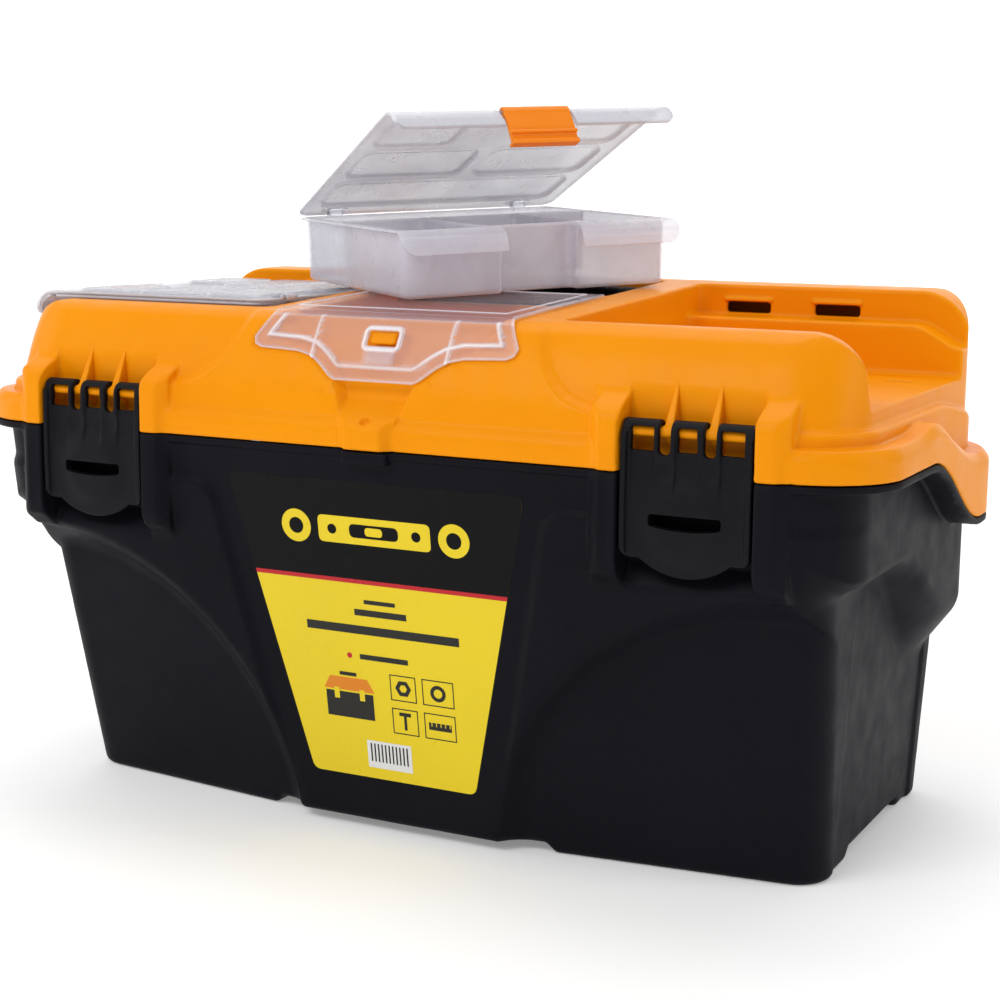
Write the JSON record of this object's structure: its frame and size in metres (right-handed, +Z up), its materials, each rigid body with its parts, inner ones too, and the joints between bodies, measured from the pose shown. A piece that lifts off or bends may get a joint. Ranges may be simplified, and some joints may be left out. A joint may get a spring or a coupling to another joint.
{
  "type": "toolbox with tray",
  "caption": "Moulded plastic toolbox with a hinged lid, over-centre style latches, a fold-down handle, a lift-out tray and clear lift-out organisers.",
  "frame": {"origin": "Centre of the whole object's footprint, at the bottom of the feet.", "axes": "+X to the right along the width, the latches face -Y, +Z up."},
  "size_m": [0.51, 0.29, 0.3775],
  "materials": {
    "black_shell": "fine satin moulding grain",
    "label": "printed gloss film",
    "steel": "drawn wire",
    "tray_plastic": "satin moulding grain",
    "orange_shell": "satin polypropylene",
    "handle_plastic": "satin moulding grain",
    "clear_plastic": "milky clear polypropylene",
    "latch_plastic": "coarse matt grain",
    "clip_plastic": "satin polypropylene"
  },
  "bodies": {
    "base": {"base_floor": "black_shell", "base_front": "black_shell", "base_rear": "black_shell", "base_left": "black_shell", "base_right": "black_shell", "latch_bay_left": "black_shell", "latch_bay_right": "black_shell", "front_label": "label", "hinge_pin_left": "steel", "hinge_pin_right": "steel"},
    "tray": {"tray_front_left": "tray_plastic", "tray_front_middle": "tray_plastic", "tray_front_right": "tray_plastic", "tray_rib": "tray_plastic", "tray_rear": "tray_plastic"},
    "lid": {"lid_left": "orange_shell", "lid_middle": "orange_shell", "lid_right": "orange_shell"},
    "handle": {"handle": "handle_plastic"},
    "centre_lid": {"centre_lid": "clear_plastic"},
    "latch_left": {"latch_left": "latch_plastic"},
    "latch_right": {"latch_right": "latch_plastic"},
    "organizer_left": {"organizer_left_box": "clear_plastic", "organizer_left_divider": "clear_plastic"},
    "organizer_left_lid": {"organizer_left_lid": "clear_plastic"},
    "organizer_left_clip": {"organizer_left_clip": "clip_plastic"},
    "organizer_right": {"organizer_right_box": "clear_plastic", "organizer_right_divider": "clear_plastic"},
    "organizer_right_lid": {"organizer_right_lid": "clear_plastic"},
    "organizer_right_clip": {"organizer_right_clip": "clip_plastic"}
  },
  "joints": [
    {"name": "lid_hinge", "type": "hinge", "parent": "base", "child": "lid", "pos_m": [0, 0.1393, 0.1654], "axis": [-1, 0, 0], "range_deg": [0, 100]},
    {"name": "tray_lift", "type": "slide", "parent": "base", "child": "tray", "axis": [0, 0, 1], "range_m": [0, 0.05]},
    {"name": "latch_left_swing", "type": "hinge", "parent": "lid", "child": "latch_left", "pos_m": [-0.1665, -0.1345, 0.224], "axis": [-1, 0, 0], "range_deg": [0, 110]},
    {"name": "latch_right_swing", "type": "hinge", "parent": "lid", "child": "latch_right", "pos_m": [0.1665, -0.1345, 0.224], "axis": [-1, 0, 0], "range_deg": [0, 110]},
    {"name": "organizer_right_lift", "type": "slide", "parent": "lid", "child": "organizer_right", "axis": [0, 0, 1], "range_m": [0, 0.36]},
    {"name": "organizer_right_lid_hinge", "type": "hinge", "parent": "organizer_right", "child": "organizer_right_lid", "pos_m": [-0.08575, 0.07627, 0.31899], "axis": [-0.5878, -0.8079, -0.0429], "range_deg": [-24, 76]},
    {"name": "organizer_right_clip_swing", "type": "hinge", "parent": "organizer_right_lid", "child": "organizer_right_clip", "pos_m": [0.02445, -0.00669, 0.37137], "axis": [-0.5878, -0.8079, -0.0429], "range_deg": [0, 95]},
    {"name": "organizer_left_lift", "type": "slide", "parent": "lid", "child": "organizer_left", "axis": [0, 0, 1], "range_m": [0, 0.08]},
    {"name": "organizer_left_lid_hinge", "type": "hinge", "parent": "organizer_left", "child": "organizer_left_lid", "pos_m": [-0.0876, -0.013, 0.2729], "axis": [0, 1, 0], "range_deg": [0, 100]},
    {"name": "organizer_left_clip_swing", "type": "hinge", "parent": "organizer_left_lid", "child": "organizer_left_clip", "pos_m": [-0.2351, -0.013, 0.2693], "axis": [0, 1, 0], "range_deg": [0, 95]},
    {"name": "handle_swing", "type": "hinge", "parent": "lid", "child": "handle", "pos_m": [0, 0.015, 0.268], "axis": [1, 0, 0], "range_deg": [0, 90]},
    {"name": "centre_lid_hinge", "type": "hinge", "parent": "lid", "child": "centre_lid", "pos_m": [0, 0, 0.2732], "axis": [-1, 0, 0], "range_deg": [0, 85]}
  ],
  "couplings": [
    {"joint": "handle_swing", "follows": "organizer_right_lift", "rad_per_m": 4.3632},
    {"joint": "centre_lid_hinge", "follows": "organizer_right_lift", "rad_per_m": 4.1208},
    {"joint": "organizer_left_lift", "follows": "organizer_right_lift", "ratio": 0.2221},
    {"joint": "organizer_left_lid_hinge", "follows": "organizer_right_lift", "rad_per_m": 4.848}
  ]
}
